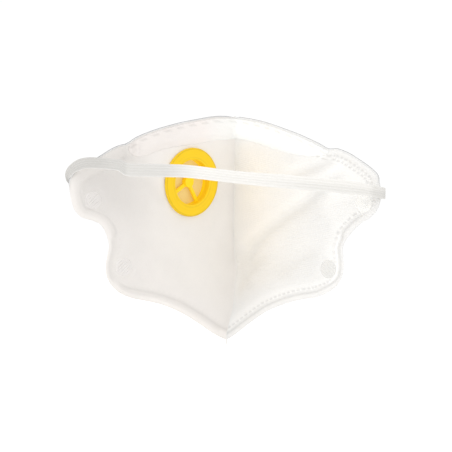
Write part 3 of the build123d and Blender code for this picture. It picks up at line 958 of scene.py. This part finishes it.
# glow is emission, painted light for light coming through the valve; the flange's dark rings are painted
# shade near its edge and round the bore
VALVE_MATERIALS = {
    "valve_inner_flange": plastic(
        "valve_yellow", srgb(250, 207, 8), rough=0.5, glow=0.05,
        shade_rings=((21.9, 0.9, 0.2), (16.2, 0.9, 0.08), (18.4, 0.6, 0.03))),
    "valve_seat": plastic("valve_seat_yellow", srgb(250, 212, 14), rough=0.5, glow=0.16),
    "valve_cover": plastic("valve_cover_yellow", srgb(255, 206, 30), rough=0.36, glow=0.12),
    "valve_diaphragm": plastic("valve_flap_rubber", srgb(236, 213, 142),
                               rough=0.5, grain=0.05, glow=0.1),
}
VALVE_MATERIALS["valve_retaining_pin"] = VALVE_MATERIALS["valve_seat"]


# ------------------------------------------------------------------ laminate halves
# web, depth of its skin side and outer side, how far its upper edge stands out past the others
WEBS = [
    ("inner_liner", 0.0, 0.30, 0.0),
    ("support_web", 0.36, 0.86, 0.0),
    ("filter_web", 0.92, 1.42, 0.4),
    ("outer_cover", 1.48, STACK, 0.85),
]


def sheet(side, flat, tris, skin_depth, outer_depth, fields, reach):
    """Closed thin web between two depths, and the flat point each vertex comes from."""
    gap, along = fields
    x, z = flat[:, 0], flat[:, 1]
    edge = EDGE[side]
    tangent = unit_rows(np.gradient(edge, axis=0))
    normal = np.stack([-tangent[:, 1], tangent[:, 0]], 1)
    if normal[len(edge) // 8, 1] <= 0:
        normal = -normal
    amount = reach * rise(z, 24 if side == LEFT else 28, 6) * fall(gap, 0, 2.2) * rise(x, 0, 3.0)
    length = arc_length(edge)
    x = x + np.interp(along, length, normal[:, 0]) * amount
    z = z + np.interp(along, length, normal[:, 1]) * amount
    skin = surf(side, x, z, skin_depth, fields=fields)
    outer = surf(side, x, z, outer_depth, fields=fields)

    # walls have vertices of their own, so the edge is shaded sharp
    rim_points, index = np.unique(rim(tris), return_inverse=True)
    start, end = index.reshape(-1, 2).T + 2 * len(flat)
    count = len(rim_points)
    walls = np.stack([start, start + count, end + count, end], 1)
    verts = np.vstack([skin, outer, skin[rim_points], outer[rim_points]]) * mirror(side)
    skin_faces, outer_faces = tris[:, ::-1], tris + len(flat)
    if side == RIGHT:
        skin_faces, outer_faces, walls = skin_faces[:, ::-1], outer_faces[:, ::-1], walls[:, ::-1]
    every = np.arange(len(flat))
    source = np.concatenate([every, every, rim_points, rim_points])
    return bow(verts), [*skin_faces, *outer_faces, *walls], source


def laminate(side):
    flat, tris = half_mesh(side)
    x, z = flat[:, 0], flat[:, 1]
    fields = edge_field(side, x, z)
    weights = half_weight(side, x, z)
    # the cover's upper edge is darkened, painted shade of the laminate's edge, and the cover has no warmth
    cover_edge_shade = 1.0 - 0.34 * fall(fields[0], 0, 1.5) * rise(z, 18, 9)
    tones = {"inner_liner": skin_tones(side, x, z, fields),
             "outer_cover": (cover_edge_shade, np.zeros(len(flat)))}
    materials = {"inner_liner": LINER[side], "support_web": SUPPORT,
                 "filter_web": FILTER, "outer_cover": COVER}
    for web, skin_depth, outer_depth, reach in WEBS:
        verts, faces, source = sheet(side, flat, tris, skin_depth, outer_depth, fields, reach)
        tone, warmth = [values[source] for values in tones[web]] if web in tones else (None, None)
        build(f"{web}_{WORD[side]}_cloth", verts, faces, f"{web}_{WORD[side]}",
              materials[web], tone=tone, warmth=warmth, weights=weights[source])


# ------------------------------------------------------------------ fused headband welds
def weld_discs(side):
    """Hatched discs on both faces of the laminate at each headband weld."""
    steps = 72
    radii = np.linspace(0.28, 6.0, 22)
    radius = np.concatenate([[0.0], np.repeat(radii, steps)])
    angle = np.concatenate([[0.0], np.tile(2 * math.pi * np.arange(steps) / steps, len(radii))])
    across, up = radius * np.cos(angle) / SPOT_HEIGHT, radius * np.sin(angle)
    hatch = np.clip(2.0 * np.cos(2 * math.pi * (across * 0.75 + up * 0.66) / 1.5), -1, 1)
    # hatched middle, raised rim, edge sunk into the cloth
    relief = (0.10 + 0.10 * hatch * rise(radius, 5.4, -0.8)
              + 0.14 * ridge(radius - 5.5, 0.45) - 0.55 * rise(radius, 5.6, 0.4))
    verts, faces = [], []
    for spot_x, spot_z in SPOTS[side]:
        for depth, way in ((0.0, -1), (STACK, 1)):
            centre = len(verts) * len(radius)
            verts.append(surf(side, spot_x + across, spot_z + up, depth, way * relief))
            disc = [(centre, centre + 1 + k, centre + 1 + (k + 1) % steps) for k in range(steps)]
            for i in range(len(radii) - 1):
                ring = centre + 1 + i * steps
                for k in range(steps):
                    here, beside = ring + k, ring + (k + 1) % steps
                    disc.append((here, here + steps, beside + steps, beside))
            faces += [face[::-1] for face in disc] if side * way < 0 else disc
    verts = np.vstack(verts) * mirror(side)
    # the upper right disc's tone above 1 makes it glow faintly, painted light
    upper_tone, lower_tone = (0.95, 0.99) if side == LEFT else (1.045, 0.905)
    item = build(f"headband_weld_discs_{WORD[side]}", verts, faces, f"strap_welds_{WORD[side]}",
                 WELD[side], tone=np.where(verts[:, 2] > 0, upper_tone, lower_tone))
    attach(item, f"{WORD[side]}_half")


# ------------------------------------------------------------------ nose comfort strip
def strip_outline(side):
    """One half of the strip: top edge outwards from the fold, then back along the bottom."""
    top = resample(nose_edge(side), 0.8)
    tangent = unit_rows(np.gradient(top, axis=0))
    inward = np.stack([tangent[:, 1], -tangent[:, 0]], 1)
    inward[inward[:, 1] > 0] *= -1
    top = top + inward * 0.55
    top[0, 0] = 0.0
    top = top[top[:, 0] < 62.0]
    bottom = resample(catmull(STRIP[side]), 0.8)
    x = bottom[:, 0]
    # slightly uneven cut
    uneven = 0.16 * np.sin(x * 1.1) + 0.1 * np.sin(x * 2.7 + 1)
    bottom = bottom + np.stack([np.zeros(len(x)), uneven], 1) * (bottom[:, :1] < 58)
    return np.vstack([top, bottom]) * np.array([side, 1])


def comfort_strip():
    left, right = strip_outline(LEFT), strip_outline(RIGHT)
    loop = np.vstack([left[:-1], right[::-1][:-1]])
    keep = [0]
    for i in range(1, len(loop)):
        if np.linalg.norm(loop[i] - loop[keep[-1]]) > 0.35:
            keep.append(i)
    loop = loop[keep]

    def rim_gap(points):
        return nearest(loop, np.roll(loop, -1, 0), points)[0]

    grid = staggered_grid((-64, 64.1), (44, 77), 0.62)
    grid = grid[inside(loop, grid)]
    flat, tris = triangulate(loop, grid[rim_gap(grid) > 0.4])
    x, z = flat[:, 0], flat[:, 1]
    own = rim_gap(flat)
    front = np.zeros((len(flat), 3))      # towards the skin
    back = np.zeros((len(flat), 3))       # on the liner
    dents = np.zeros(len(flat))
    for side in (LEFT, RIGHT):
        part = (x >= 0) if side == LEFT else (x < 0)
        part_x, part_z, part_own = np.abs(x[part]), z[part], own[part]
        fields = edge_field(side, part_x, part_z)
        gap, along = fields
        # row of slanted dents beside the top edge
        slant = along + 1.3 * (gap - 2.7) * side
        dash = np.clip(0.5 + 3.0 * (np.cos(2 * math.pi * slant / 8.2) + 0.1), 0, 1)
        dent = ridge(gap - 2.7, 0.75) * dash
        dents[part] = dent
        # padded middle, fuller top edge, thin rim
        thick = (0.22 + 0.80 * rise(gap, 3.2, 5.0) * rise(part_own, 0, 4.5)
                 + 0.22 * rise(gap, 0, 1.2) * rise(part_own, 0, 0.8) - 0.30 * dent)
        thick = thick * (0.35 + 0.65 * rise(part_own, 0, 0.7))
        if side == LEFT:
            thick = thick * (1 - 0.45 * rise(part_x, 46, 12))
        thick = np.maximum(thick, 0.08)
        clearance = 0.015
        skin_lift = -clearance - thick
        back[part] = surf(side, part_x, part_z, 0.0, -clearance, fields) * mirror(side)
        front[part] = surf(side, part_x, part_z, 0.0, skin_lift, fields) * mirror(side)
    count = len(flat)
    start, end = rim(tris).T
    walls = np.stack([start, start + count, end + count, end], 1)

    # painted light on the left half's rim against its edge shadow and slight painted shade on the right
    # half's rim, dents, left end, then painted shading from the middle outwards and the crease
    tone = 0.985 + np.where(x > 0, 0.02, -0.006) * np.exp(-own / 0.6) - 0.105 * dents
    tone -= 0.04 * (rise(x, 50, 10) + 0.8 * rise(x, 57, 5))
    tone += 0.02 * ridge(x, 16) - 0.045 * rise(x, 6, 40) - 0.02 * np.exp(-np.abs(x) / 1.2)
    tone = np.where(x < 0, tone - 0.03 * fall(own, 0, 5.0), tone)
    build("nose_comfort_strip_cloth", bow(np.vstack([front, back])),
          [*tris[:, ::-1], *(tris + count), *walls],
          "nose_comfort_strip", STRIP_CLOTH,
          tone=np.tile(tone, 2), warmth=np.tile(rise(x, -2, 24), 2),
          weights=np.tile(panel_weight(x, z), 2))


# ------------------------------------------------------------------ nose clip, outside
def clip_edges(side, x):
    """Both edges of the clip on one half, as rows of six coordinates."""
    top_x, top_z = nose_edge(side).T
    middle = np.interp(x, top_x, top_z) - 8.2
    return np.hstack([outer_points(side, x, middle + way * 2.5, 0.5) for way in (1, -1)])


def nose_clip():
    x = np.concatenate([np.arange(-45, -3, 0.9), np.arange(-3, 3.01, 0.3),
                        np.arange(3.9, 45.1, 0.9)])
    rows = np.vstack([clip_edges(RIGHT, -x[x < 0]), clip_edges(LEFT, x[x >= 0])])
    # bridge over the seam fin
    rows[:, [1, 4]] -= 1.7 * ridge(x, 2.4)[:, None]
    rows = smooth_rows(rows, 3)
    verts, faces, uv = ribbon(rows[:, :3], rows[:, 3:], across=15)
    verts = bow(verts)
    weights = smooth_rows(panel_weight(x, 68.0 - np.abs(x) * 0.3), 4)
    build("nose_clip_strip", verts, outward(verts, faces), "nose_clip", CLIP,
          uv=uv, weights=np.repeat(weights, len(verts) // len(weights)))


# ------------------------------------------------------------------ centre seam fin
def seam_fin():
    """Thin fin standing forward of the fold, dented in two staggered rows of dashes."""
    z = np.concatenate([[-76.3, -75.6, -74.8, -74.0, -73.3], np.arange(-72.6, 76.01, 0.5)])
    # shallower at the nose, and tapering below the chin
    depth = 4.0 - 1.9 * rise(z, 58, 5) + 0.12 * np.sin(z * 0.9)
    depth = np.where(z < -73, 4.0 - 1.1 * (-73 - z) / 3.3, depth)
    root_y = base_y(np.zeros_like(z), np.clip(z, -73, 76.4), LEFT) - STACK * 0.55
    sway = 0.25 * np.sin(z * 0.07)
    dash = 0.5 + 0.5 * np.clip(2.2 * np.cos(2 * math.pi * z / 2.6), -1, 1)
    rows = []
    for face in (1, -1):
        for share in np.linspace(0, 1, 17):
            dent = (0.13 * ridge(share - 0.42, 0.13) * dash
                    + 0.10 * ridge(share - 0.75, 0.1) * (1 - dash))
            half = np.maximum(0.42 * (1 - 0.55 * share) - dent * 0.8, 0.1)
            half = half * (1 if share < 0.99 else 0.5)
            rows.append(np.stack([face * half + sway * share, root_y - depth * share, z], 1))
    verts = ring_points(rows)
    verts = carry(verts, bow_by(LEFT, 0.0, verts[:, 2]))
    faces = outward(verts, tube_faces(len(z), len(rows)))
    build("centre_seam_fin", verts, faces, "centre_weld_seam", SEAM,
          weights=np.full(len(verts), 0.5))


# ------------------------------------------------------------------ headbands
# Top and bottom edge of the upper band from the left tab round to the right tab: (x, y, z)
UPPER_BAND_TOP = [
    (97.2, 38.4, 27.4), (99.4, 41.0, 31.8), (98.6, 43.2, 36.0), (95.6, 44.8, 39.3),
    (91.2, 46.2, 42.1), (84.9, 47.2, 43.4), (78.7, 47.6, 43.2), (70.7, 47.7, 42.7),
    (65.5, 47.9, 42.1), (61.8, 48.3, 40.2), (58.4, 48.0, 39.7), (47.5, 47.5, 39.8),
    (35.3, 47.3, 39.6), (22.6, 47.2, 39.1), (-1.2, 47.2, 36.3), (-22.5, 47.2, 34.6),
    (-43.8, 47.2, 33.2), (-68.0, 47.1, 31.3), (-79.0, 46.8, 29.9), (-86.2, 46.3, 28.4),
    (-91.6, 45.4, 27.4), (-95.3, 43.7, 26.9), (-96.0, 41.0, 26.4), (-94.3, 38.2, 25.6),
]
UPPER_BAND_BOTTOM = [
    (93.6, 38.0, 25.4), (96.6, 40.2, 28.0), (96.2, 43.4, 31.0), (93.4, 45.0, 33.8),
    (88.2, 46.6, 36.0), (84.2, 47.3, 36.6), (78.6, 47.6, 36.4), (71.0, 47.7, 35.8),
    (66.5, 47.9, 35.1), (62.9, 48.2, 32.6), (58.7, 48.0, 31.9), (47.5, 47.5, 31.8),
    (35.3, 47.3, 31.7), (22.6, 47.2, 31.3), (-1.2, 47.2, 28.7), (-22.5, 47.2, 26.6),
    (-43.8, 47.2, 24.9), (-68.0, 47.1, 23.1), (-79.0, 46.8, 22.2), (-85.6, 46.3, 21.6),
    (-91.0, 45.4, 20.5), (-95.2, 43.7, 19.7), (-95.9, 41.0, 20.2), (-94.2, 38.2, 20.4),
]
# Centre line (x, z) of the welded legs on the tabs' outer faces, in the band's running order
LEFT_LEG = [(80.6, 13.2), (82.6, 15.6), (85.2, 18.4), (88.0, 21.4)]
RIGHT_LEG = [(88.4, 21.0), (85.8, 19.0), (83.2, 16.6), (81.2, 14.2)]


def band_ribbon(edges, steps, passes):
    """Ribbed band from rows of six coordinates, one point on each edge."""
    edges = resample(smooth_rows(catmull(edges, steps=steps), passes), 1.0)
    return ribbon(edges[:, :3], edges[:, 3:], across=61, ribs=BAND_RIBS, rib_height=0.075)


def leg_edges(side, path):
    path = np.array(path, float)
    tangent = unit_rows(np.gradient(path, axis=0))
    offset = np.stack([-tangent[:, 1], tangent[:, 0]], 1) * (BAND_WIDTH / 2)
    return np.hstack([outer_points(side, *line.T, BAND_LIFT)
                      for line in (path + offset, path - offset)])


def upper_band():
    edges = np.vstack([leg_edges(LEFT, LEFT_LEG), np.hstack([UPPER_BAND_TOP, UPPER_BAND_BOTTOM]),
                       leg_edges(RIGHT, RIGHT_LEG)])
    verts, faces, uv = band_ribbon(edges, steps=9, passes=2)
    x = verts[:, 0]
    across = uv[:, 1] / np.abs(uv[:, 1]).max()      # -1 top edge, 1 bottom edge
    left_loop_shade = rise(x, 60.5, 2.5)
    left_shade = rise(x, 14, 26)
    # painted shade: darker towards the left, most on the loop round the left tab where the band turns away
    # from the light; the lower part darker towards the right
    tone = 0.935 - 0.19 * left_shade - 0.075 * left_loop_shade - 0.05 * left_loop_shade * rise(x, 70, 12)
    tone -= 0.06 * rise(x, -18, -40) * rise(across, -0.6, 0.8)
    # painted shade: dark lines between the lower ribs
    lines = np.clip(np.cos(math.pi * BAND_RIBS * (across - 0.1)), 0, 1)
    lines = lines * rise(across, -0.35, 0.3) * fall(across, 0.8, 0.08)
    tone -= 0.05 * lines * (1 - 0.8 * left_shade)
    # bright selvedges, then painted shade on the right end where the band bends back round the tab
    tone += (0.99 - tone) * 0.8 * ridge(across - 1.0, 0.09) + 0.03 * ridge(across + 1.0, 0.08)
    tone *= 1 - 0.10 * rise(x, -85, -5)
    build("upper_headband_elastic", verts, outward(verts, faces), "upper_headband",
          BAND, uv=uv, tone=tone, weights=fold_weight(verts))


def lower_band():
    """Band across the outside from weld to weld, passing in front of the seam fin."""
    x = np.array([68.5, 64.4, 60.0, 52.0, 44.0, 36.0, 28.0, 21.0, 15.0, 10.0, 6.5])
    half, weld_z, sag = BAND_WIDTH / 2, SPOTS[LEFT][1][1], 2.2
    z = weld_z - np.where(x < 66, sag * (1 - (x / 66.0) ** 2), 0)
    # the band leaves the face past the welds and rises further towards the fin
    lift = BAND_LIFT + 0.5 * rise(x, 66, -10) + 2.6 * rise(x, 24, -20)
    left, right = [np.hstack([outer_points(side, x, z + half, lift),
                              outer_points(side, x, z - half, lift)]) for side in (LEFT, RIGHT)]
    front_y = FOLD_Y - 4.3 - 1.6
    middle_z = weld_z - sag
    middle = []
    for middle_x in (3.2, 0.0, -3.2):
        y = front_y + 0.10 * middle_x * middle_x
        middle.append([middle_x, y, middle_z + half, middle_x, y, middle_z - half])
    verts, faces, uv = band_ribbon(np.vstack([left, middle, right[::-1]]), steps=8, passes=6)
    weights = turn_weight(verts[:, 0], np.where(verts[:, 0] > 0, 7.0, 12.5))
    verts = bow(verts)
    build("lower_headband_elastic", verts, outward(verts, faces), "lower_headband",
          BAND, uv=uv, tone=np.ones(len(verts)), weights=weights)


# ------------------------------------------------------------------ stage, light and camera (m)
def white_world():
    """White surroundings, a touch less bright where the camera sees them directly."""
    ambient, seen = 1.04, 1.03
    world = bpy.data.worlds.new("white")
    bpy.context.scene.world = world
    world.use_nodes = True
    tree = world.node_tree
    background = tree.nodes["Background"]
    background.inputs[0].default_value = (1, 1, 1, 1)
    is_camera = add(tree, "LightPath").outputs["Is Camera Ray"]
    strength = scaled(tree, is_camera, factor=seen - ambient, offset=ambient)
    tree.links.new(strength, background.inputs[1])


def stage_floor():
    """Pale floor that looks brighter to the camera than it lights the mask."""
    half, z = 3.0, -0.0778
    mesh = bpy.data.meshes.new("floor")
    corners = [(-half, -half, z), (half, -half, z), (half, half, z), (-half, half, z)]
    mesh.from_pydata(corners, [], [(0, 1, 2, 3)])
    floor = bpy.data.objects.new("floor", mesh)
    bpy.context.scene.collection.objects.link(floor)
    material, tree, shader, output = new_material("pale_floor")
    mottle = add(tree, "TexNoise", {"Scale": 3.0}).outputs["Fac"]
    value = scaled(tree, mottle, factor=0.01, offset=0.99)
    feed(tree, shader, Base_Color=with_value(tree, (0.95, 0.95, 0.95, 1), value))
    shader.inputs["Roughness"].default_value = 1.0
    shader.inputs["Specular IOR Level"].default_value = 0.0
    is_camera = add(tree, "LightPath").outputs["Is Camera Ray"]
    camera_glow = 0.62
    glow = add(tree, "Emission", {1: calc(tree, "MULTIPLY", is_camera, camera_glow)})
    both = add(tree, "AddShader", {0: shader.outputs[0], 1: glow.outputs[0]})
    feed(tree, output, Surface=both.outputs[0])
    mesh.materials.append(material)
    return floor


def key_light():
    light = bpy.data.lights.new("key", "AREA")
    light.shape = "DISK"
    light.size = 0.5
    light.energy = 2.2
    key = bpy.data.objects.new("key", light)
    bpy.context.scene.collection.objects.link(key)
    key.location = (0.75, 0.55, 0.45)
    key.rotation_mode = "QUATERNION"
    to_origin = Vector((0, 0, 0)) - Vector((0.75, 0.55, 0.45))
    key.rotation_quaternion = to_origin.to_track_quat("-Z", "Y")
    return key


def add_camera():
    """Long lens behind the mask, looking towards -Y with a slight roll."""
    lens = bpy.data.cameras.new("camera")
    lens.lens = 112.0
    lens.sensor_width = 36.0
    lens.shift_x = -0.003318584
    lens.shift_y = 0.004424779
    camera = bpy.data.objects.new("camera", lens)
    bpy.context.scene.collection.objects.link(camera)
    camera.location = (0.0, 0.90135, 0.0012)
    camera.rotation_mode = "QUATERNION"
    roll = Quaternion((0, -1, 0), -0.0101)
    camera.rotation_quaternion = roll @ Vector((0, -1, 0)).to_track_quat("-Z", "Y")
    bpy.context.scene.camera = camera


# ------------------------------------------------------------------ build everything
laminate(LEFT)
laminate(RIGHT)
weld_discs(LEFT)
weld_discs(RIGHT)
comfort_strip()
nose_clip()
seam_fin()
upper_band()
lower_band()
# the valve keeps its CAD meshes
for node_name, valve_material in VALVE_MATERIALS.items():
    set_material(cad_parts[node_name], valve_material)

white_world()
stage = (stage_floor(), key_light())
add_camera()
bpy.context.scene.view_settings.view_transform = "Standard"
bpy.context.scene.view_settings.look = "None"
